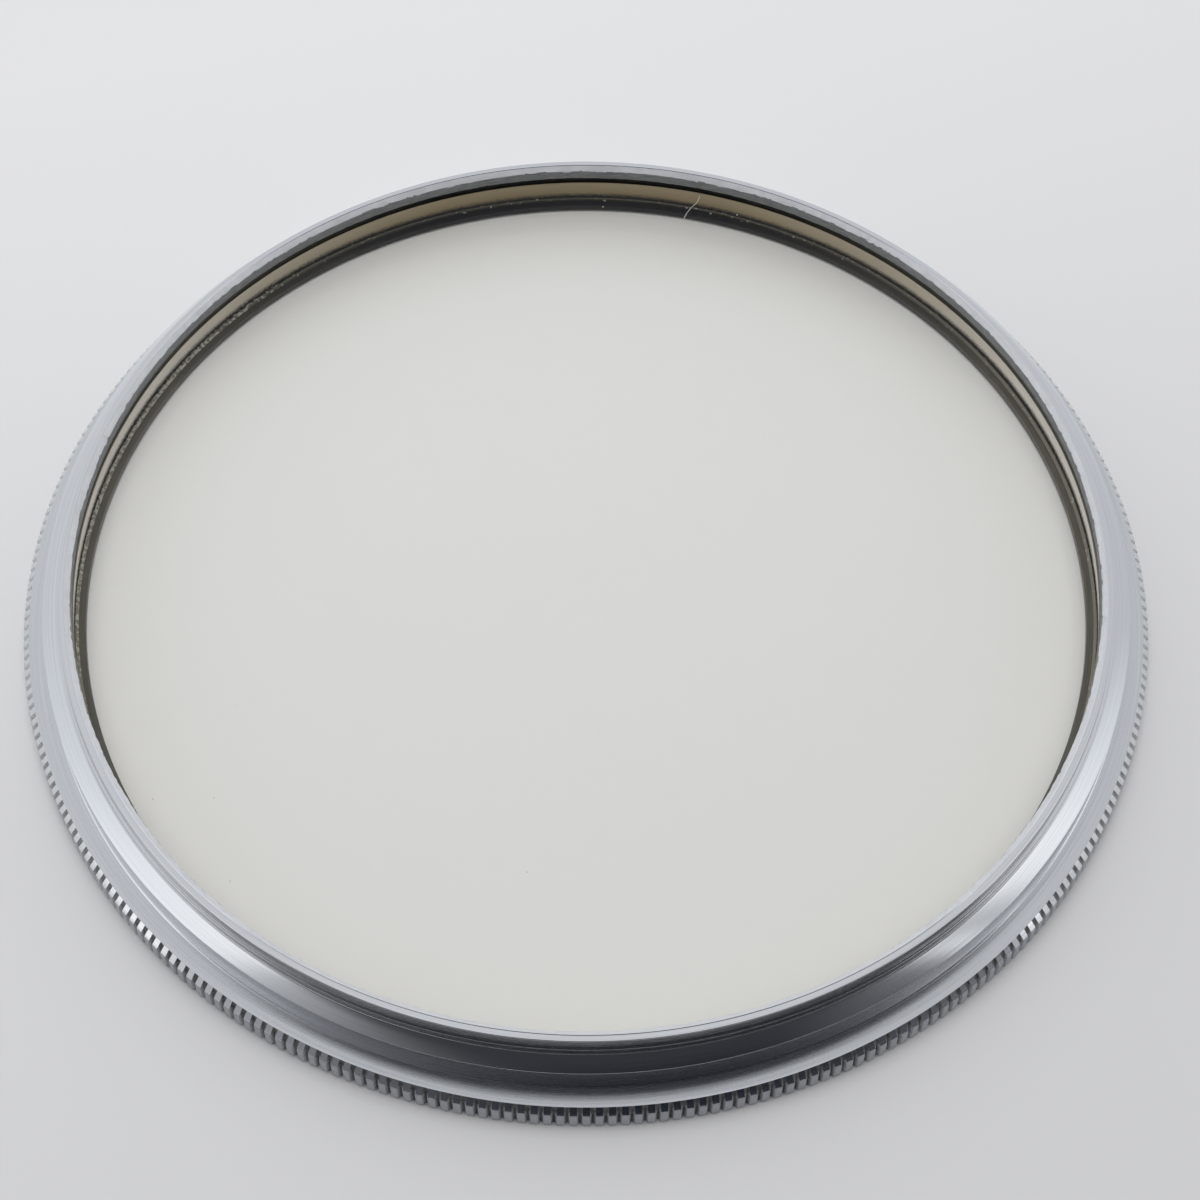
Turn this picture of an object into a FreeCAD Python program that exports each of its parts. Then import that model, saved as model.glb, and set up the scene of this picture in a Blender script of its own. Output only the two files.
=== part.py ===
import FreeCAD, Part
import math
import os

# A round ultraviolet lens filter: a turned aluminium ring that holds one disc of glass.
# The ring stands on its wide knurled flange, with the narrower collar upwards, and the
# collar's top edge is rolled inwards over the glass, so nothing in it unscrews.
# Millimetres. The origin is the middle of the underside, and +Z is the optical axis.
# The outer diameter drives the part: each surface further in is placed from the one
# outside it by a named width.

# Knurled flange
outer_diameter = 58.0      # over the crests of the knurl
knurl_teeth = 304          # a straight knurl of 0.6 mm pitch
knurl_depth = 0.2
knurl_crest_width = 0.33
flange_height = 1.78
flange_width = 1.3         # from the crests in to the neck
flange_top_chamfer = 0.22  # height that the chamfer takes off each crest
flange_foot_chamfer = 0.15

# Shoulder above the neck
shoulder_height = 3.12     # sharp edge where the neck ends and the shoulder starts
shoulder_rise = 0.39
shoulder_width = 0.75

# Collar above the shoulder, with two fine turned steps
lower_step_width = 0.07
lower_land_taper = 0.02    # how far the land between the steps leans inwards
upper_step_height = 3.85
upper_step_width = 0.11
upper_land_taper = 0.05
ring_height = 4.42

# Rolled lip at the top
rim_width = 0.28           # flat rim outside the fine line where the roller stopped
score_line_width = 0.05
score_line_depth = 0.015
lip_width = 0.32           # from that line in to the lip's edge
lip_slope_drop = 0.2       # how far the roller pressed that edge down
lip_gap_over_glass = 0.38  # dark gap between the lip's nose and the glass
lip_nose_back = 0.1        # how far the nose is relieved below that edge
lip_clearance = 0.02       # between the lip's underside and the bevel of the glass

# Glass disc
glass_hold = 0.15          # how far the lip's edge reaches in over the glass
glass_thickness = 2.83
glass_bevel = 0.15
glass_side_clearance = 0.05

# Seat that carries the glass
seat_height = 0.48
seat_width = 0.5           # how far the glass lies on it
seat_edge_chamfer = 0.1

# Radii, from the outside in
crest_radius = outer_diameter / 2
root_radius = crest_radius - knurl_depth
neck_radius = crest_radius - flange_width
collar_radius = neck_radius - shoulder_width
lower_land_radius = collar_radius - lower_step_width
upper_ledge_radius = lower_land_radius - lower_land_taper
upper_land_radius = upper_ledge_radius - upper_step_width
rim_radius = upper_land_radius - upper_land_taper
score_radius = rim_radius - rim_width
lip_radius = score_radius - lip_width
glass_radius = lip_radius + glass_hold
pocket_radius = glass_radius + glass_side_clearance
seat_radius = glass_radius - seat_width

# Heights that follow from the glass, which lies on the seat
glass_bottom = seat_height
glass_top = glass_bottom + glass_thickness

axis_point = FreeCAD.Vector(0, 0, 0)
axis_direction = FreeCAD.Vector(0, 0, 1)


def polar_point(radius, angle, height):
    return FreeCAD.Vector(radius * math.cos(angle), radius * math.sin(angle), height)


def revolve(section):
    """Turn a half section, given as corners of (radius, height), once round the optical axis."""
    corners = [FreeCAD.Vector(radius, 0, height) for radius, height in section]
    profile = Part.Face(Part.makePolygon(corners + corners[:1]))
    return profile.revolve(axis_point, axis_direction, 360)


def flat_face(*corners):
    return Part.Face(Part.makePolygon(list(corners) + [corners[0]]))


def knurled_disc():
    """The flange as a full disc: straight V grooves in a blank whose two edges are chamfered."""
    tooth_angle = 2 * math.pi / knurl_teeth
    half_crest = knurl_crest_width / outer_diameter
    crest_low = flange_foot_chamfer
    crest_high = flange_height - flange_top_chamfer
    faces = []
    for tooth in range(knurl_teeth):
        middle = tooth * tooth_angle
        left_root = middle - tooth_angle / 2
        right_root = middle + tooth_angle / 2
        left_crest = middle - half_crest
        right_crest = middle + half_crest

        left_root_low = polar_point(root_radius, left_root, 0)
        left_root_high = polar_point(root_radius, left_root, flange_height)
        right_root_low = polar_point(root_radius, right_root, 0)
        right_root_high = polar_point(root_radius, right_root, flange_height)
        left_crest_low = polar_point(crest_radius, left_crest, crest_low)
        left_crest_high = polar_point(crest_radius, left_crest, crest_high)
        right_crest_low = polar_point(crest_radius, right_crest, crest_low)
        right_crest_high = polar_point(crest_radius, right_crest, crest_high)

        faces += [
            flat_face(left_root_high, left_crest_high, right_crest_high, right_root_high),
            flat_face(left_root_low, right_root_low, right_crest_low, left_crest_low),
            flat_face(left_crest_low, right_crest_low, right_crest_high, left_crest_high),
            flat_face(left_root_low, left_crest_low, left_crest_high, left_root_high),
            flat_face(right_crest_low, right_root_low, right_root_high, right_crest_high),
        ]
    for height in (0, flange_height):
        roots = [
            polar_point(root_radius, (tooth + 0.5) * tooth_angle, height)
            for tooth in range(knurl_teeth)
        ]
        faces.append(flat_face(*roots))
    return Part.Solid(Part.Shell(faces))


def turned_outside():
    """Neck, shoulder and collar as a full solid of revolution that stands in the flange."""
    buried = flange_height / 2
    shoulder_top = shoulder_height + shoulder_rise
    return revolve([
        (0, buried),
        (neck_radius, buried),
        (neck_radius, shoulder_height),
        (collar_radius, shoulder_top),
        (lower_land_radius, shoulder_top),
        (upper_ledge_radius, upper_step_height),
        (upper_land_radius, upper_step_height),
        (rim_radius, ring_height),
        (0, ring_height),
    ])


def turned_inside():
    """The space inside the ring: seat opening, glass pocket and the rolled lip's slope."""
    above = ring_height + 1
    below = -1
    nose_height = glass_top + lip_gap_over_glass
    nose_radius = lip_radius + lip_nose_back
    bevel_radius = glass_radius - glass_bevel

    def underside_height(radius):
        """The lip's underside follows the bevel of the glass, a clearance above it."""
        return glass_top - (radius - bevel_radius) + lip_clearance

    return revolve([
        (seat_radius, seat_edge_chamfer),
        (seat_radius, seat_height),
        (pocket_radius, seat_height),
        (pocket_radius, underside_height(pocket_radius)),
        (nose_radius, underside_height(nose_radius)),
        (nose_radius, nose_height - lip_nose_back),
        (lip_radius, nose_height),
        (lip_radius, ring_height - lip_slope_drop),
        (score_radius - score_line_width, ring_height),
        (score_radius - score_line_width / 2, ring_height - score_line_depth),
        (score_radius, ring_height),
        (score_radius, above),
        (0, above),
        (0, below),
        (seat_radius + seat_edge_chamfer, below),
        (seat_radius + seat_edge_chamfer, 0),
    ])


def mount_ring():
    """The one turned piece: knurled flange, neck, shoulder, collar and lip."""
    blank = knurled_disc().fuse(turned_outside())
    return blank.cut(turned_inside()).removeSplitter().Solids[0]


def filter_glass():
    """A plane-parallel disc with its two edges bevelled."""
    flat_radius = glass_radius - glass_bevel
    return revolve([
        (0, glass_bottom),
        (flat_radius, glass_bottom),
        (glass_radius, glass_bottom + glass_bevel),
        (glass_radius, glass_top - glass_bevel),
        (flat_radius, glass_top),
        (0, glass_top),
    ])


pieces = {
    "mount_ring": mount_ring(),
    "filter_glass": filter_glass(),
}

os.makedirs("parts", exist_ok=True)
for name, shape in pieces.items():
    shape.exportStep(f"parts/{name}.step")
    print(name, "valid", shape.isValid(), "volume", round(shape.Volume, 3))
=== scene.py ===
import math

import bmesh
import bpy
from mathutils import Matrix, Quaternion, Vector, noise


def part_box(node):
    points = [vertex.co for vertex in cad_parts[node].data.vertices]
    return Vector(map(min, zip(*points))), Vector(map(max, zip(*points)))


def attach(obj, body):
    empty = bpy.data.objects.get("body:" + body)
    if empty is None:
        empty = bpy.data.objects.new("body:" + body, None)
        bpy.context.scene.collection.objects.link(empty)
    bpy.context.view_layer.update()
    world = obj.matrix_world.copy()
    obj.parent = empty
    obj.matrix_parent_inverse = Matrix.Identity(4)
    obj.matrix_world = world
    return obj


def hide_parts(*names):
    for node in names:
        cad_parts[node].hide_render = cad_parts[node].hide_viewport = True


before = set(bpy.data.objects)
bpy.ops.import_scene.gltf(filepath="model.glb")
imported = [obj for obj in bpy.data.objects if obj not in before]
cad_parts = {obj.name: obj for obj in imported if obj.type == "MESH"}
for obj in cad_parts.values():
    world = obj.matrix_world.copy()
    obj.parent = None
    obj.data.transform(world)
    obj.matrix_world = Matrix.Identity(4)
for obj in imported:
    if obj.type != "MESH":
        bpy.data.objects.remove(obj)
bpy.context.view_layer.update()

# An old silver ultraviolet filter: one turned aluminium ring with a knurled flange, and the
# glass disc that its rolled lip holds. Lengths are millimetres until a mesh is finished.
MM = 0.001

# Knurled flange, as low and as chamfered as the photo shows it: the solid's is 0.27 mm higher
crest_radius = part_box("mount_ring")[1][0] / MM
knurl_teeth = 304
columns_per_tooth = 4      # vertices round each tooth, two on its crest and two in the groove
knurl_depth = 0.2
knurl_crest_width = 0.33
knurl_groove_floor = 0.03
flange_height = 1.51
flange_top_chamfer = 0.38
flange_chamfer_width = 0.34
flange_foot_chamfer = 0.15
flange_width = 1.3

# Neck, shoulder and collar
shoulder_height = 3.12
shoulder_rise = 0.39
shoulder_width = 0.75
lower_step_width = 0.07
lower_land_taper = 0.02
upper_step_height = 3.85
upper_step_width = 0.11
upper_land_taper = 0.05
ring_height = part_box("mount_ring")[1][2] / MM

# Rolled lip
rim_width = 0.28
score_line_width = 0.05
score_line_depth = 0.015
lip_width = 0.32
lip_slope_drop = 0.2
lip_gap_over_glass = 0.38
lip_nose_back = 0.1
lip_clearance = 0.02

# Glass and the seat under it
glass_low, glass_high = (corner[2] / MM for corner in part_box("filter_glass"))
glass_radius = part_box("filter_glass")[1][0] / MM
glass_segments = 608
glass_bevel = 0.15
glass_side_clearance = 0.05
glass_over_seat = 0.02     # keeps the two faces apart
bevel_start = glass_low + glass_bevel
bevel_glint_width = 0.06    # of the painted glint, a grey line, where the lower bevel starts
edge_shade_height = 1.25  # height where the tan grinding gives way to painted shade
edge_shade_blur = 0.3
seat_width = 0.5
seat_edge_chamfer = 0.1

# Rounds of the turned corners
fine_round = 0.015
edge_round = 0.03
lip_round = 0.05
wide_round = 0.08

# Dust on the glass
speck_flatness = 0.5
speck_lift = 0.3           # as a share of the speck's size
fibre_radius = 0.018
fibre_lift = 0.02
fibre_overlap = 0.03       # of each straight run of the fibre with the next

# Radii, from the outside in
root_radius = crest_radius - knurl_depth
flange_top_radius = crest_radius - flange_chamfer_width
neck_radius = crest_radius - flange_width
collar_radius = neck_radius - shoulder_width
lower_land_radius = collar_radius - lower_step_width
upper_ledge_radius = lower_land_radius - lower_land_taper
upper_land_radius = upper_ledge_radius - upper_step_width
rim_radius = upper_land_radius - upper_land_taper
score_radius = rim_radius - rim_width
slope_radius = score_radius - score_line_width
lip_radius = score_radius - lip_width
pocket_radius = glass_radius + glass_side_clearance
seat_radius = glass_radius - seat_width
slack = 0.01               # for vertices and faces that are compared with these radii

# Heights that two shapes share
shoulder_top = shoulder_height + shoulder_rise
nose_height = glass_high + lip_gap_over_glass

# Places in the list of materials of the ring, and of the glass
POLISHED, FLANGE, KNURL, LIP_NOSE, BLACKENED, DARKER_TURNED, LIP_SLOPE = range(7)
CLEAR, GROUND, DUST = range(3)


def linear(hex_colour):
    """An sRGB hex colour as the linear RGBA that sockets take."""
    shares = [int(hex_colour[i:i + 2], 16) / 255 for i in (0, 2, 4)]
    return [s / 12.92 if s <= 0.04045 else ((s + 0.055) / 1.055) ** 2.4 for s in shares] + [1]


def add(tree, kind, values=None, links=None, **settings):
    """Add a node with its settings, the values on its sockets and the links into them.

    A Mix node's colours are sockets 6 and 7, because their names are not unique, and the
    mixed colour is output 2.
    """
    node = tree.nodes.new(kind)
    for name, value in settings.items():
        setattr(node, name, value)
    for socket, value in (values or {}).items():
        node.inputs[socket].default_value = value
    for socket, source in (links or {}).items():
        tree.links.new(source, node.inputs[socket])
    return node


def new_material(name):
    material = bpy.data.materials.new(name)
    material.use_nodes = True
    material.node_tree.nodes.clear()
    return material, material.node_tree


def finish_material(material, shader):
    add(material.node_tree, "ShaderNodeOutputMaterial", links={"Surface": shader.outputs[0]})
    return material


def object_mm(tree):
    """Object coordinates in millimetres."""
    place = add(tree, "ShaderNodeTexCoord").outputs["Object"]
    return add(
        tree, "ShaderNodeVectorMath", {1: (1 / MM,) * 3}, {0: place}, operation="MULTIPLY"
    ).outputs[0]


def from_axis(tree, in_mm):
    """The level way out from the optical axis, and the distance from it."""
    flat = add(
        tree, "ShaderNodeVectorMath", {1: (1, 1, 0)}, {0: in_mm}, operation="MULTIPLY"
    ).outputs[0]
    radius = add(tree, "ShaderNodeVectorMath", links={0: flat}, operation="LENGTH")
    return flat, radius.outputs["Value"]


def side_of_part(tree, in_mm):
    """The direction from the part's middle, and how much of it points to the far side."""
    outward = add(tree, "ShaderNodeVectorMath", links={0: in_mm}, operation="NORMALIZE")
    parts = add(tree, "ShaderNodeSeparateXYZ", links={0: outward.outputs[0]})
    return outward.outputs[0], parts.outputs["Y"]


# Materials of the ring

def turning_coordinates(tree, in_mm, line_spacing, streak_length):
    """What a lathe tool follows, for a 4D noise: fine across the cut, long round the axis."""
    flat, radius = from_axis(tree, in_mm)
    outward = add(tree, "ShaderNodeVectorMath", links={0: flat}, operation="NORMALIZE")
    round_axis = add(
        tree, "ShaderNodeVectorMath", {"Scale": crest_radius / streak_length},
        {0: outward.outputs[0]}, operation="SCALE",
    )
    across = add(
        tree, "ShaderNodeMath", {1: 1 / line_spacing}, {0: radius}, operation="MULTIPLY"
    )
    lift = add(tree, "ShaderNodeCombineXYZ", links={"Z": across.outputs[0]})
    vector = add(
        tree, "ShaderNodeVectorMath", links={0: round_axis.outputs[0], 1: lift.outputs[0]},
        operation="ADD",
    )
    height = add(tree, "ShaderNodeSeparateXYZ", links={0: in_mm}).outputs["Z"]
    along = add(
        tree, "ShaderNodeMath", {1: 1 / line_spacing}, {0: height}, operation="MULTIPLY"
    )
    return {"Vector": vector.outputs[0], "W": along.outputs[0]}


def turned_metal(name, bright, dull, roughness, line_spacing, line_depth, wave_depth,
                 streak_length=14):
    """Bare aluminium as a lathe leaves it: a soft mirror crossed by fine lines round the axis.

    A tool leaves lines about 0.05 mm apart, which the render can't show, so they are drawn
    nearly twice as coarse.
    """
    roughness_spread = 0.05
    material, tree = new_material(name)
    lathe = turning_coordinates(tree, object_mm(tree), line_spacing, streak_length)
    lines = add(
        tree, "ShaderNodeTexNoise", {"Scale": 1, "Detail": 3, "Roughness": 0.6}, lathe,
        noise_dimensions="4D",
    ).outputs[0]
    tone = add(
        tree, "ShaderNodeMix", {6: linear(dull), 7: linear(bright)}, {0: lines}, data_type="RGBA"
    ).outputs[2]
    rough = add(
        tree, "ShaderNodeMapRange",
        {"From Min": 0.3, "From Max": 0.7, "To Min": roughness + roughness_spread,
         "To Max": roughness - roughness_spread},
        {"Value": lines},
    ).outputs[0]
    waves = add(
        tree, "ShaderNodeTexNoise", {"Scale": 0.25, "Detail": 1}, lathe, noise_dimensions="4D"
    ).outputs[0]
    swell = add(
        tree, "ShaderNodeBump", {"Strength": 1, "Distance": wave_depth * MM}, {"Height": waves}
    )
    grooves = add(
        tree, "ShaderNodeBump", {"Strength": 1, "Distance": line_depth * MM},
        {"Height": lines, "Normal": swell.outputs[0]},
    )
    shader = add(
        tree, "ShaderNodeBsdfPrincipled", {"Metallic": 1},
        {"Base Color": tone, "Roughness": rough, "Normal": grooves.outputs[0]},
    )
    return finish_material(material, shader)


def knurled_metal():
    """Knurled aluminium, half matt, with painted shade: the grooves darker than the crests, and
    both darker towards the near side, which faces the dark viewer.
    """
    material, tree = new_material("knurled aluminium")
    in_mm = object_mm(tree)
    _, radius = from_axis(tree, in_mm)
    # Painted shade: the grooves are painted darker than the crests, for the shade in them.
    crest = add(
        tree, "ShaderNodeMapRange", {"From Min": root_radius, "From Max": crest_radius},
        {"Value": radius},
    ).outputs[0]
    grain = add(
        tree, "ShaderNodeTexNoise", {"Scale": 5, "Detail": 3}, {"Vector": in_mm}
    ).outputs[0]
    dirt = add(tree, "ShaderNodeMath", {1: -0.3}, {0: grain}, operation="ADD").outputs[0]
    share = add(
        tree, "ShaderNodeMath", links={0: crest, 1: dirt}, operation="ADD", use_clamp=True
    ).outputs[0]
    # Painted shade: crests and grooves are both painted darker towards the near side, which faces
    # the dark viewer.
    _, far_part = side_of_part(tree, in_mm)
    far_lit_share = add(
        tree, "ShaderNodeMapRange", {"From Min": -0.75, "From Max": -0.2}, {"Value": far_part}
    ).outputs[0]
    groove = add(
        tree, "ShaderNodeMix", {6: linear("5A5856"), 7: linear("D0D0D0")}, {0: far_lit_share},
        data_type="RGBA",
    ).outputs[2]
    crest_colour = add(
        tree, "ShaderNodeMix", {6: linear("BABCC0"), 7: linear("DCDEE1")}, {0: far_lit_share},
        data_type="RGBA",
    ).outputs[2]
    tone = add(
        tree, "ShaderNodeMix", links={0: share, 6: groove, 7: crest_colour}, data_type="RGBA"
    ).outputs[2]
    pits = add(tree, "ShaderNodeBump", {"Strength": 1, "Distance": 0.006 * MM}, {"Height": grain})
    shader = add(
        tree, "ShaderNodeBsdfPrincipled", {"Metallic": 1, "Roughness": 0.62},
        {"Base Color": tone, "Normal": pits.outputs[0]},
    )
    return finish_material(material, shader)


def rolled_metal():
    """The lip's steep inner edge, torn by the roller: scuffed, uneven, darker than the slope."""
    material, tree = new_material("rolled aluminium lip")
    lathe = turning_coordinates(tree, object_mm(tree), line_spacing=0.07, streak_length=0.6)
    scuffs = add(
        tree, "ShaderNodeTexNoise", {"Scale": 1, "Detail": 4, "Roughness": 0.65}, lathe,
        noise_dimensions="4D",
    ).outputs[0]
    tone = add(
        tree, "ShaderNodeMix", {6: linear("4E5053"), 7: linear("BCBEC1")}, {0: scuffs},
        data_type="RGBA",
    ).outputs[2]
    dents = add(tree, "ShaderNodeBump", {"Strength": 1, "Distance": 0.02 * MM}, {"Height": scuffs})
    shader = add(
        tree, "ShaderNodeBsdfPrincipled", {"Metallic": 1, "Roughness": 0.42},
        {"Base Color": tone, "Normal": dents.outputs[0]},
    )
    return finish_material(material, shader)


def burnished_metal():
    """The slope that the roller pressed down: pale silver with fine scuffs, and nearly matt.

    It is only a little metallic, because it scatters light where a mirror would be black.
    """
    material, tree = new_material("burnished aluminium")
    lathe = turning_coordinates(tree, object_mm(tree), line_spacing=0.09, streak_length=1.2)
    scuffs = add(
        tree, "ShaderNodeTexNoise", {"Scale": 1, "Detail": 4, "Roughness": 0.6}, lathe,
        noise_dimensions="4D",
    ).outputs[0]
    tone = add(
        tree, "ShaderNodeMix", {6: linear("BCBDC0"), 7: linear("DEDFE2")}, {0: scuffs},
        data_type="RGBA",
    ).outputs[2]
    dents = add(
        tree, "ShaderNodeBump", {"Strength": 1, "Distance": 0.008 * MM}, {"Height": scuffs}
    )
    shader = add(
        tree, "ShaderNodeBsdfPrincipled", {"Metallic": 0.1, "Roughness": 0.42},
        {"Base Color": tone, "Normal": dents.outputs[0]},
    )
    return finish_material(material, shader)


def blackened_seat():
    """The seat and pocket, blackened against stray light: a cold near black with a soft gloss.

    It is near black on the far side and olive grey towards the sides and the near side.
    """
    material, tree = new_material("blackened aluminium")
    in_mm = object_mm(tree)
    lathe = turning_coordinates(tree, in_mm, line_spacing=0.06, streak_length=3)
    wear = add(
        tree, "ShaderNodeTexNoise", {"Scale": 1, "Detail": 3}, lathe, noise_dimensions="4D"
    ).outputs[0]
    black = add(
        tree, "ShaderNodeMix", {6: linear("050606"), 7: linear("16181A")}, {0: wear},
        data_type="RGBA",
    ).outputs[2]
    side_grey = add(
        tree, "ShaderNodeMix", {6: linear("38362E"), 7: linear("6E6A60")}, {0: wear},
        data_type="RGBA",
    ).outputs[2]
    _, far_part = side_of_part(tree, in_mm)
    # Near black on the far side, olive grey towards the sides and the near side.
    far_black_share = add(
        tree, "ShaderNodeMapRange", {"From Min": 0.5, "From Max": 0.95}, {"Value": far_part}
    ).outputs[0]
    tone = add(
        tree, "ShaderNodeMix", links={0: far_black_share, 6: side_grey, 7: black}, data_type="RGBA"
    ).outputs[2]
    shader = add(
        tree, "ShaderNodeBsdfPrincipled",
        {"Roughness": 0.3, "IOR": 1.5, "Specular IOR Level": 0.2}, {"Base Color": tone},
    )
    return finish_material(material, shader)


# Materials of the glass

def polished_glass():
    """Polished crown glass, faintly warm and coated, so that it mirrors little of the room."""
    material, tree = new_material("polished filter glass")
    glass = add(
        tree, "ShaderNodeBsdfPrincipled",
        {"Base Color": linear("FFFFFC"), "Roughness": 0, "IOR": 1.52, "Transmission Weight": 1,
         "Specular Tint": linear("90909A")},
    )
    open_way = add(tree, "ShaderNodeBsdfTransparent", {"Color": linear("FFFFFE")})
    # The light that falls on the table passes straight through, so the glass casts no shadow
    path = add(tree, "ShaderNodeLightPath").outputs
    passing = add(
        tree, "ShaderNodeMath", links={0: path["Is Shadow Ray"], 1: path["Is Diffuse Ray"]},
        operation="MAXIMUM",
    )
    both = add(
        tree, "ShaderNodeMixShader",
        links={0: passing.outputs[0], 1: glass.outputs[0], 2: open_way.outputs[0]},
    )
    return finish_material(material, both)


def ground_colour(tree, height, grit, far_share, beside):
    """Tan grinding above a mottled line, with painted shade below it and the tan painted paler
    towards the top; painted light, a pale beige, at the sides.
    """
    mottled = add(
        tree, "ShaderNodeMath", {1: 0.9, 2: -0.45}, {0: grit}, operation="MULTIPLY_ADD"
    )
    # The painted shade reaches higher at the sides.
    lowered = add(
        tree, "ShaderNodeMath", {1: -0.2}, {0: beside, 2: height}, operation="MULTIPLY_ADD"
    )
    level = add(
        tree, "ShaderNodeMath", links={0: lowered.outputs[0], 1: mottled.outputs[0]},
        operation="ADD",
    )
    # Painted shade: below the mottled line the edge is painted a dark olive.
    above_shade = add(
        tree, "ShaderNodeMapRange",
        {"From Min": edge_shade_height - edge_shade_blur,
         "From Max": edge_shade_height + edge_shade_blur},
        {"Value": level.outputs[0]},
    ).outputs[0]
    # Painted light: the tan is painted paler towards the top.
    paler = add(
        tree, "ShaderNodeMapRange", {"From Min": edge_shade_height, "From Max": glass_high},
        {"Value": height},
    ).outputs[0]
    tan = add(
        tree, "ShaderNodeMix", {6: linear("A09072"), 7: linear("BDAE93")}, {0: paler},
        data_type="RGBA",
    ).outputs[2]
    # Painted light: the sides, which face the windows, are painted pale beige.
    upper = add(
        tree, "ShaderNodeMix", {6: linear("E2DCD2")}, {0: far_share, 7: tan}, data_type="RGBA"
    ).outputs[2]
    return add(
        tree, "ShaderNodeMix", {6: linear("201E10")}, {0: above_shade, 7: upper}, data_type="RGBA"
    ).outputs[2]


def bevel_colour(tree, tone, height, beside):
    """Lay a painted glint, a grey line, over the start of the lower bevel, and paint the lower
    bevel a lighter grey at the sides as painted light.
    """
    # Painted highlight: a grey glint line where the lower bevel starts.
    on_glint_line = add(
        tree, "ShaderNodeMath", {1: bevel_start, 2: bevel_glint_width}, {0: height},
        operation="COMPARE",
    ).outputs[0]
    glinted = add(
        tree, "ShaderNodeMix", {7: linear("5E5C50")}, {0: on_glint_line, 6: tone}, data_type="RGBA"
    ).outputs[2]
    # Painted light: the lower bevel is painted lighter grey at the sides.
    on_bevel = add(
        tree, "ShaderNodeMapRange",
        {"From Min": bevel_start, "From Max": bevel_start + bevel_glint_width, "To Min": 1,
         "To Max": 0},
        {"Value": height},
    ).outputs[0]
    share = add(
        tree, "ShaderNodeMath", links={0: on_bevel, 1: beside}, operation="MULTIPLY"
    ).outputs[0]
    return add(
        tree, "ShaderNodeMix", {7: linear("807C70")}, {0: share, 6: glinted}, data_type="RGBA"
    ).outputs[2]


def chip_colour(tree, tone, in_mm, outward, height):
    """Lay pale chips over the low part of the edge, more of them at the left."""
    left_part = add(
        tree, "ShaderNodeVectorMath", {1: (-0.94, 0.34, 0)}, {0: outward},
        operation="DOT_PRODUCT",
    )
    worse = add(
        tree, "ShaderNodeMapRange",
        {"From Min": 0.8, "From Max": 0.96, "To Min": 0, "To Max": 0.16},
        {"Value": left_part.outputs["Value"]},
    ).outputs[0]
    spots = add(
        tree, "ShaderNodeTexNoise", {"Scale": 5, "Detail": 3}, {"Vector": in_mm}
    ).outputs[0]
    chipped = add(tree, "ShaderNodeMath", links={0: spots, 1: worse}, operation="ADD").outputs[0]
    chips = add(
        tree, "ShaderNodeMapRange", {"From Min": 0.64, "From Max": 0.68}, {"Value": chipped}
    ).outputs[0]
    low = add(
        tree, "ShaderNodeMapRange",
        {"From Min": bevel_start + 0.1, "From Max": bevel_start + 0.3, "To Min": 1, "To Max": 0},
        {"Value": height},
    ).outputs[0]
    share = add(
        tree, "ShaderNodeMath", links={0: low, 1: chips}, operation="MULTIPLY"
    ).outputs[0]
    return add(
        tree, "ShaderNodeMix", {7: linear("B2B0A4")}, {0: share, 6: tone}, data_type="RGBA"
    ).outputs[2]


def ground_glass_edge():
    """The glass's ground edge: matt, mottled tan, with pale chips; painted shade low down, painted
    light high up and at the sides, and a painted glint where the lower bevel starts.

    The grit's pits are about 0.03 mm, which the render can't show, so they are drawn as
    spots of 0.17 mm.
    """
    material, tree = new_material("ground glass edge")
    in_mm = object_mm(tree)
    grit = add(
        tree, "ShaderNodeTexNoise", {"Scale": 6, "Detail": 4, "Roughness": 0.65},
        {"Vector": in_mm},
    ).outputs[0]
    height = add(tree, "ShaderNodeSeparateXYZ", links={0: in_mm}).outputs["Z"]
    outward, far_part = side_of_part(tree, in_mm)
    far_share = add(
        tree, "ShaderNodeMapRange", {"From Min": 0.45, "From Max": 0.95}, {"Value": far_part}
    ).outputs[0]
    beside = add(tree, "ShaderNodeMath", {0: 1}, {1: far_share}, operation="SUBTRACT").outputs[0]
    tone = ground_colour(tree, height, grit, far_share, beside)
    tone = bevel_colour(tree, tone, height, beside)
    tone = chip_colour(tree, tone, in_mm, outward, height)
    pits = add(tree, "ShaderNodeBump", {"Strength": 1, "Distance": 0.02 * MM}, {"Height": grit})
    shader = add(
        tree, "ShaderNodeBsdfPrincipled",
        {"Roughness": 0.8, "IOR": 1.5, "Specular IOR Level": 0.25},
        {"Base Color": tone, "Normal": pits.outputs[0]},
    )
    return finish_material(material, shader)


def settled_dust():
    """Dust and lint: matt, off-white, a little uneven."""
    material, tree = new_material("settled dust")
    place = add(tree, "ShaderNodeTexCoord").outputs["Object"]
    clumps = add(
        tree, "ShaderNodeTexNoise", {"Scale": 12 / MM, "Detail": 2}, {"Vector": place}
    ).outputs[0]
    tone = add(
        tree, "ShaderNodeMix", {6: linear("A9A69C"), 7: linear("E9E7E1")}, {0: clumps},
        data_type="RGBA",
    ).outputs[2]
    shader = add(
        tree, "ShaderNodeBsdfPrincipled", {"Roughness": 0.9, "IOR": 1.45}, {"Base Color": tone}
    )
    return finish_material(material, shader)


# Shapes

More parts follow.
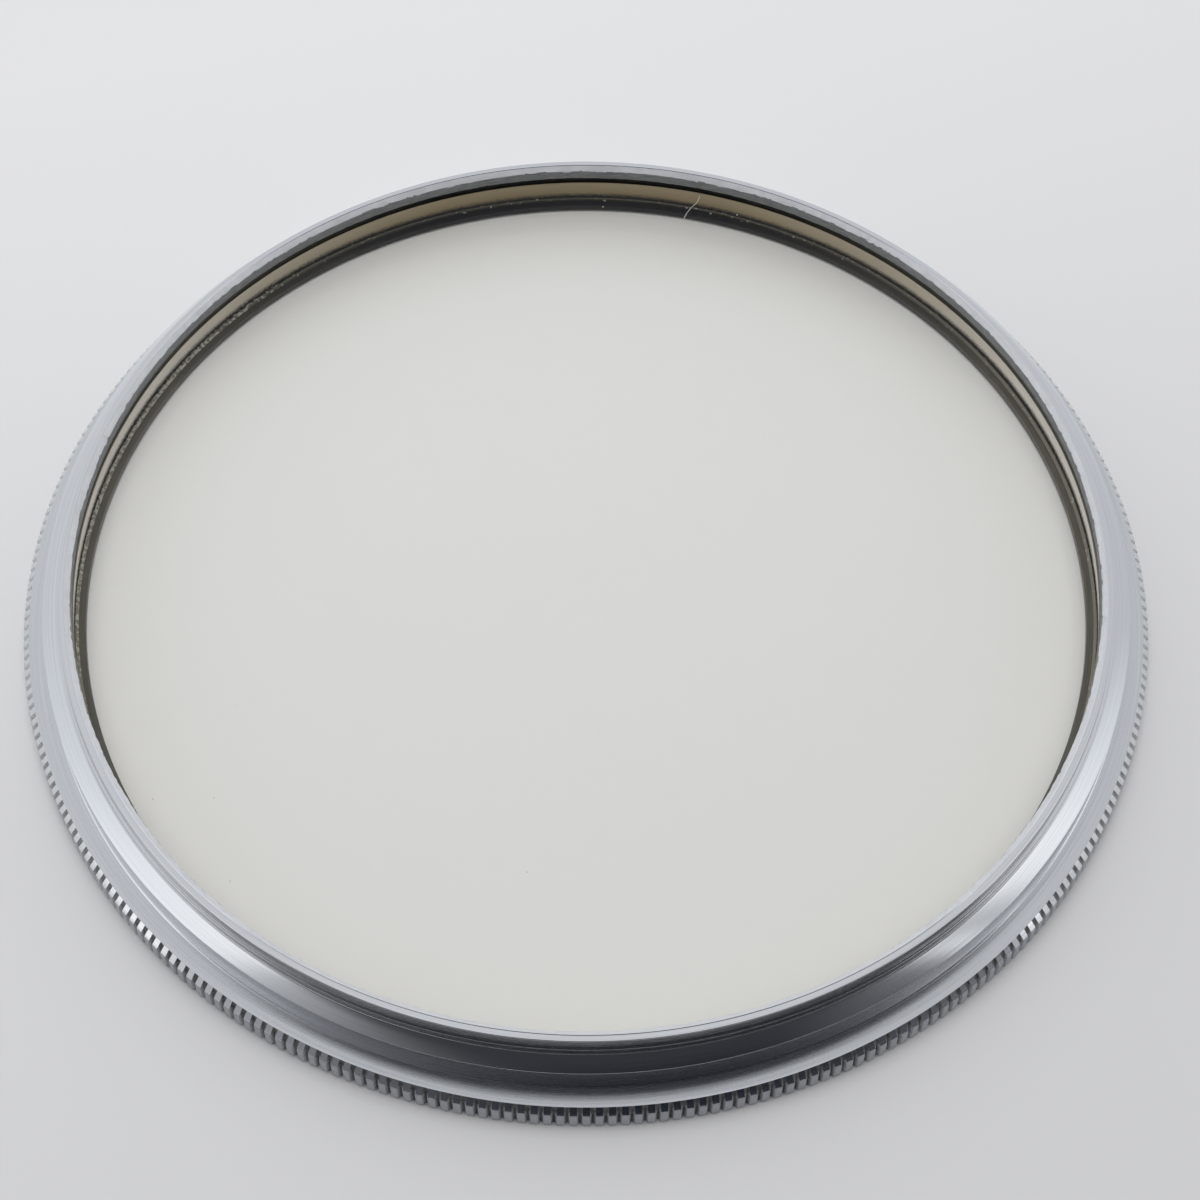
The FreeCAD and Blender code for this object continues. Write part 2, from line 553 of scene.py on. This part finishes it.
def spin_section(mesh, corners, steps):
    """Round the corners of a half section, (radius, height, round), and spin it into a solid."""
    points = [mesh.verts.new((radius, 0, height)) for radius, height, _ in corners]
    mesh.faces.new(points)
    for point, (_, _, round_size) in zip(points, corners):
        if round_size:
            bmesh.ops.bevel(
                mesh, geom=[point], offset=round_size, offset_type="OFFSET", affect="VERTICES",
                segments=6 if round_size >= wide_round else 2, profile=0.5, material=-1,
            )
    bmesh.ops.delete(mesh, geom=mesh.faces[:], context="FACES_ONLY")
    bmesh.ops.spin(
        mesh, geom=mesh.verts[:] + mesh.edges[:], cent=(0, 0, 0), axis=(0, 0, 1),
        angle=2 * math.pi, steps=steps, use_merge=True, use_duplicate=False,
    )
    bmesh.ops.recalc_face_normals(mesh, faces=mesh.faces[:])


def shade(mesh):
    """Smooth round the axis, sharp at every turned corner."""
    sharp_angle = math.radians(16)
    for face in mesh.faces:
        face.smooth = True
    for edge in mesh.edges:
        edge.smooth = edge.calc_face_angle(math.pi) < sharp_angle


def finish_piece(mesh, name, materials, node):
    """Turn a finished bmesh in millimetres into a piece in metres that rides on the part."""
    bmesh.ops.scale(mesh, vec=(MM,) * 3, verts=mesh.verts[:])
    data = bpy.data.meshes.new(name)
    mesh.to_mesh(data)
    mesh.free()
    piece = bpy.data.objects.new(name, data)
    bpy.context.scene.collection.objects.link(piece)
    for material in materials:
        data.materials.append(material)
    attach(piece, "root")
    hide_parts(node)


def ring_section():
    """The ring's half section, from the seat's foot outwards, up the outside and back down."""
    nose_radius = lip_radius + lip_nose_back
    bevel_radius = glass_radius - glass_bevel
    seat_height = glass_low - glass_over_seat

    def under_lip(radius):
        """The lip's underside follows the bevel of the glass, a clearance above it."""
        return glass_high - (radius - bevel_radius) + lip_clearance

    return [
        (seat_radius + seat_edge_chamfer, 0, fine_round),
        (root_radius, 0, 0),
        (crest_radius, flange_foot_chamfer, edge_round),
        (crest_radius, flange_height - flange_top_chamfer, wide_round),
        (flange_top_radius, flange_height, 0),
        (neck_radius, flange_height, wide_round),
        (neck_radius, shoulder_height, fine_round),
        (collar_radius, shoulder_top, edge_round),
        (lower_land_radius, shoulder_top, fine_round),
        (upper_ledge_radius, upper_step_height, fine_round),
        (upper_land_radius, upper_step_height, fine_round),
        (rim_radius, ring_height, edge_round),
        (score_radius, ring_height, 0),
        (score_radius - score_line_width / 2, ring_height - score_line_depth, 0),
        (slope_radius, ring_height, 0),
        (lip_radius, ring_height - lip_slope_drop, lip_round),
        (lip_radius, nose_height, fine_round),
        (nose_radius, nose_height - lip_nose_back, 0),
        (nose_radius, under_lip(nose_radius), 0),
        (pocket_radius, under_lip(pocket_radius), 0),
        (pocket_radius, seat_height, 0),
        (seat_radius, seat_height, fine_round),
        (seat_radius, seat_edge_chamfer, fine_round),
    ]


def cut_knurl(mesh):
    """Straight V grooves: of a tooth's four columns, two stand on its crest and two lie low."""
    pitch = 2 * math.pi / knurl_teeth
    column_angle = pitch / columns_per_tooth
    half_crest = knurl_crest_width / 2 / crest_radius
    half_floor = knurl_groove_floor / 2 / root_radius
    places = [-half_crest, half_crest, pitch / 2 - half_floor, pitch / 2 + half_floor]
    for vert in mesh.verts:
        radius = vert.co.xy.length
        if radius < flange_top_radius - slack:
            continue
        column = round(math.atan2(vert.co.y, vert.co.x) / column_angle)
        tooth, place = divmod(column, columns_per_tooth)
        angle = tooth * pitch + places[place]
        if place > 1:
            radius = min(radius, root_radius)
        vert.co.xy = (radius * math.cos(angle), radius * math.sin(angle))


def roughen_lip(mesh):
    """The roller's uneven edge: waves and burrs that grow from the slope's top to its edge."""
    nose_foot = nose_height - lip_nose_back
    # Steps of the noise per radian and per millimetre of height, and its reach in and up
    roughness = [(14, 1.5, 0.015, 0.03), (110, 6, 0.03, 0.07)]
    for vert in mesh.verts:
        radius = vert.co.xy.length
        if radius > slope_radius - slack or vert.co.z < nose_foot:
            continue
        inner = 1 - (radius - lip_radius) / (slope_radius - lip_radius)
        outward = Vector((vert.co.x, vert.co.y, 0)).normalized()
        inwards = upwards = 0
        for per_radian, per_height, reach_in, reach_up in roughness:
            swing = noise.noise(Vector((*(outward * per_radian).xy, vert.co.z * per_height)))
            inwards += reach_in * swing
            upwards += reach_up * swing
        vert.co -= outward * inner * inwards
        vert.co.z += inner * upwards


def ring_finish(face):
    """Which finish a face of the ring has: its place in the ring's list of materials."""
    neck_fillet = 0.06
    seat_foot = 0.2
    nose_margin = 0.02
    land_margin = 0.1      # keeps the round at the rim's edge out of the lands
    chamfer_rise = 0.55    # a crest's chamfer faces up by more, a groove's floor by less
    slope_rise = 0.5
    land_rise = 0.7
    centre = face.calc_center_median()
    radius, height, rise = centre.xy.length, centre.z, face.normal.z
    if radius > flange_top_radius + slack:
        return POLISHED if rise > chamfer_rise else KNURL
    if radius > neck_radius + neck_fillet and height > flange_height / 2:
        return FLANGE
    if radius < seat_radius + seat_edge_chamfer and height < seat_foot:
        return DARKER_TURNED
    if radius < pocket_radius + slack and height < nose_height - nose_margin:
        return BLACKENED
    if radius < slope_radius and height > glass_high:
        return LIP_NOSE if rise < slope_rise else LIP_SLOPE
    # Painted shade: the lands and steps take a darker copy of the turned aluminium, for the dark
    # things that they mirror.
    if height > shoulder_top and rise < land_rise and radius > score_radius + land_margin:
        return DARKER_TURNED
    return POLISHED


def make_ring():
    mesh = bmesh.new()
    spin_section(mesh, ring_section(), knurl_teeth * columns_per_tooth)
    cut_knurl(mesh)
    roughen_lip(mesh)
    mesh.normal_update()
    for face in mesh.faces:
        face.material_index = ring_finish(face)
    shade(mesh)
    # In the order of POLISHED, FLANGE, KNURL, LIP_NOSE, BLACKENED, DARKER_TURNED and LIP_SLOPE
    finishes = [
        turned_metal(
            "polished turned aluminium", "ECEDEF", "D2D4D8", roughness=0.15,
            line_spacing=0.09, line_depth=0.0006, wave_depth=0.004,
        ),
        turned_metal(
            "faced aluminium flange", "E8EAED", "CED0D4", roughness=0.26,
            line_spacing=0.08, line_depth=0.001, wave_depth=0.003,
        ),
        knurled_metal(),
        rolled_metal(),
        blackened_seat(),
        # A darker copy of the turned aluminium: painted shade on the lands and steps, and the
        # plain grey of the bore's foot.
        turned_metal(
            "darker turned aluminium", "CDCDCE", "A8A8AA", roughness=0.25,
            line_spacing=0.08, line_depth=0.001, wave_depth=0.002, streak_length=4,
        ),
        burnished_metal(),
    ]
    finish_piece(mesh, "mount_ring_turned", finishes, "mount_ring")


def add_dust(mesh):
    """One pale fibre and a few specks that lie on the glass, placed in millimetres."""
    clean = set(mesh.faces)
    specks = [
        (0.91, 24.26, 0.05), (8.47, 23.67, 0.05), (-2.82, -17.62, 0.05), (9.39, 8.07, 0.035),
        (-17.95, -13.64, 0.045), (-17.24, -8.49, 0.035), (-20.88, -13.69, 0.05),
        (-16.83, -18.09, 0.04),
    ]
    for x, y, size in specks:
        made = bmesh.ops.create_icosphere(mesh, subdivisions=1, radius=size)
        for vert in made["verts"]:
            vert.co.z *= speck_flatness
            vert.co += Vector((x, y, glass_high + size * speck_lift))
    fibre = [(6.41, 25.10), (6.23, 24.57), (5.88, 24.19), (5.62, 23.76), (5.41, 23.26)]
    for start, end in zip(fibre, fibre[1:]):
        run = Vector((end[0] - start[0], end[1] - start[1], 0))
        made = bmesh.ops.create_cone(
            mesh, cap_ends=True, segments=8, radius1=fibre_radius, radius2=fibre_radius,
            depth=run.length + fibre_overlap,
        )
        turn = run.to_track_quat("Z", "Y").to_matrix()
        middle = Vector((
            (start[0] + end[0]) / 2, (start[1] + end[1]) / 2, glass_high + fibre_lift,
        ))
        for vert in made["verts"]:
            vert.co = turn @ vert.co + middle
    for face in mesh.faces:
        if face not in clean:
            face.material_index = DUST
            face.smooth = True


def make_glass():
    """The disc: two polished faces, a ground side and two bevels."""
    level_drop = 0.01      # the two rims are level, and the edges that join them aren't
    polished_rise = 0.9    # only the two faces point up or down by more
    mesh = bmesh.new()
    bmesh.ops.create_circle(mesh, cap_ends=True, segments=glass_segments, radius=glass_radius)
    bmesh.ops.translate(mesh, vec=(0, 0, glass_low), verts=mesh.verts[:])
    top = bmesh.ops.extrude_face_region(mesh, geom=mesh.faces[:])["geom"]
    risen = [item for item in top if isinstance(item, bmesh.types.BMVert)]
    bmesh.ops.translate(mesh, vec=(0, 0, glass_high - glass_low), verts=risen)
    rims = [e for e in mesh.edges if abs(e.verts[0].co.z - e.verts[1].co.z) < level_drop]
    bmesh.ops.bevel(
        mesh, geom=rims, offset=glass_bevel, offset_type="OFFSET", affect="EDGES", segments=1,
        profile=0.5, material=-1,
    )
    bmesh.ops.recalc_face_normals(mesh, faces=mesh.faces[:])
    shade(mesh)
    for face in mesh.faces:
        face.material_index = CLEAR if abs(face.normal.z) > polished_rise else GROUND
    add_dust(mesh)
    # In the order of CLEAR, GROUND and DUST
    finishes = [polished_glass(), ground_glass_edge(), settled_dust()]
    finish_piece(mesh, "filter_glass_disc", finishes, "filter_glass")


# The table and the light on it, in metres

def make_table():
    """A white laminate table top, nearly matt, painted darker towards the viewer: painted shade
    for the viewer's shadow and for the lamps' light falling off across it.
    """
    half_width = 1.5
    gap_under_ring = 0.00002
    mesh = bmesh.new()
    bmesh.ops.create_grid(mesh, x_segments=1, y_segments=1, size=half_width)
    bmesh.ops.translate(mesh, vec=(0, 0, -gap_under_ring), verts=mesh.verts[:])
    data = bpy.data.meshes.new("table_top")
    mesh.to_mesh(data)
    mesh.free()
    table = bpy.data.objects.new("table_top", data)
    bpy.context.scene.collection.objects.link(table)
    material, tree = new_material("white laminate")
    place = add(tree, "ShaderNodeTexCoord").outputs["Object"]
    towards_window = add(
        tree, "ShaderNodeVectorMath", {1: (-0.3, 0.95, 0)}, {0: place}, operation="DOT_PRODUCT"
    ).outputs["Value"]
    share = add(
        tree, "ShaderNodeMapRange", {"From Min": -0.045, "From Max": 0.045},
        {"Value": towards_window},
    ).outputs[0]
    # Painted shade: the laminate is painted darker towards the viewer.
    tone = add(
        tree, "ShaderNodeMix", {6: linear("D0CFCF"), 7: linear("E9E8E8")}, {0: share},
        data_type="RGBA",
    ).outputs[2]
    shader = add(tree, "ShaderNodeBsdfPrincipled", {"Roughness": 0.6}, {"Base Color": tone})
    data.materials.append(finish_material(material, shader))


def wall_colours(tree, direction):
    """The walls round the filter, in degrees anticlockwise from the viewer's right."""
    azimuth = add(
        tree, "ShaderNodeMath", links={0: direction["Y"], 1: direction["X"]}, operation="ARCTAN2"
    )
    turn = add(
        tree, "ShaderNodeMapRange", {"From Min": -math.pi, "From Max": math.pi},
        {"Value": azimuth.outputs[0]},
    )
    walls = add(tree, "ShaderNodeValToRGB", links={0: turn.outputs[0]})
    stops = [
        # The window at the left
        (-180, "F4F7FA"), (-160, "FBFDFF"), (-155, "B8BABD"), (-148, "9D9FA3"),
        # The viewer
        (-131, "6F7073"), (-111, "3C3E42"), (-90, "1B2026"), (-69, "20242A"), (-49, "2E3136"),
        (-32, "58595D"), (-25, "66676B"), (-20, "6C6D71"),
        # The window at the right, behind a frame
        (-19, "F8FAFC"), (-14.5, "F8FAFC"), (-13.5, "88898D"), (-8, "C8CACD"), (-4, "F8FAFC"),
        (5, "F8FAFC"), (17, "DFE2E7"),
        # The far wall, and the window at the left again
        (28, "C2C4C8"), (60, "C4C6CA"), (100, "CBCDD0"), (150, "CDD0D4"), (165, "DADDE2"),
        (180, "F4F7FA"),
    ]
    ramp = walls.color_ramp
    for place, (degrees, colour) in enumerate(stops):
        share = (degrees + 180) / 360
        # A new ramp has two stops already
        if place < 2:
            stop = ramp.elements[place]
            stop.position = share
        else:
            stop = ramp.elements.new(share)
        stop.color = linear(colour)
    near_horizon = add(
        tree, "ShaderNodeMapRange",
        {"From Min": 0, "From Max": 0.3, "To Min": 1.2, "To Max": 1},
        {"Value": direction["Z"]}, interpolation_type="SMOOTHSTEP",
    )
    return add(
        tree, "ShaderNodeVectorMath",
        links={0: walls.outputs[0], "Scale": near_horizon.outputs[0]}, operation="SCALE",
    ).outputs[0]


def light_world():
    """A pale room: a bright window at each side, the dark viewer near by and overhead."""
    world = bpy.data.worlds.new("room")
    bpy.context.scene.world = world
    world.use_nodes = True
    tree = world.node_tree
    tree.nodes.clear()
    generated = add(tree, "ShaderNodeTexCoord").outputs["Generated"]
    direction = add(tree, "ShaderNodeSeparateXYZ", links={0: generated}).outputs
    walls = wall_colours(tree, direction)
    overhead = add(
        tree, "ShaderNodeMapRange", {"From Min": 0.82, "From Max": 0.88},
        {"Value": direction["Z"]}, interpolation_type="SMOOTHSTEP",
    )
    away = add(
        tree, "ShaderNodeVectorMath", {1: (-0.26, 0.966, 0)}, {0: generated},
        operation="DOT_PRODUCT",
    )
    far_side = add(
        tree, "ShaderNodeMapRange", {"From Min": 0.05, "From Max": 0.28},
        {"Value": away.outputs["Value"]}, interpolation_type="SMOOTHSTEP",
    )
    ceiling = add(
        tree, "ShaderNodeMix", {6: linear("34363A"), 7: linear("CDCFD2")},
        {0: far_side.outputs[0]}, data_type="RGBA",
    )
    room = add(
        tree, "ShaderNodeMix", links={0: overhead.outputs[0], 6: walls, 7: ceiling.outputs[2]},
        data_type="RGBA",
    )
    mirrored = add(tree, "ShaderNodeBackground", {"Strength": 1.15}, {"Color": room.outputs[2]})
    plain = add(tree, "ShaderNodeBackground", {"Color": linear("DEE0E2"), "Strength": 1})
    path = add(tree, "ShaderNodeLightPath").outputs
    both = add(
        tree, "ShaderNodeMixShader",
        links={0: path["Is Camera Ray"], 1: mirrored.outputs[0], 2: plain.outputs[0]},
    )
    add(tree, "ShaderNodeOutputWorld", links={"Surface": both.outputs[0]})


def hang_lamp(name, place, size, power):
    """A large soft lamp aimed at the filter; metal and glass don't mirror its outline."""
    lamp = bpy.data.lights.new(name, "AREA")
    lamp.size = size
    lamp.energy = power
    holder = bpy.data.objects.new(name, lamp)
    holder.location = place
    holder.rotation_euler = (-Vector(place)).to_track_quat("-Z", "Y").to_euler()
    holder.visible_glossy = False
    holder.visible_transmission = False
    bpy.context.scene.collection.objects.link(holder)


def set_camera():
    """The photograph's camera: close, above the near side, turned a little."""
    stand = Vector((0, -71.454, 109.524)) * MM
    aim = Vector((0.687, -1.031, 1.45)) * MM
    roll = math.radians(-0.492)
    look = aim - stand
    lens = bpy.data.cameras.new("photo_camera")
    lens.sensor_width = 36
    lens.lens = 75
    lens.clip_start = 0.01
    camera = bpy.data.objects.new("photo_camera", lens)
    camera.location = stand
    turn = look.to_track_quat("-Z", "Y") @ Quaternion((0, 0, 1), -roll)
    camera.rotation_euler = turn.to_euler()
    bpy.context.scene.collection.objects.link(camera)
    bpy.context.scene.camera = camera


set_camera()
light_world()
hang_lamp("ceiling_lamp", (0.0, -0.05, 0.8), size=0.5, power=2.75)
hang_lamp("window_lamp", (0.0, 0.45, 0.6), size=0.5, power=0.75)
hang_lamp("room_fill", (0.0, -0.45, 0.5), size=0.6, power=0.2)
make_table()
make_ring()
make_glass()

bpy.context.scene.view_settings.view_transform = "Standard"
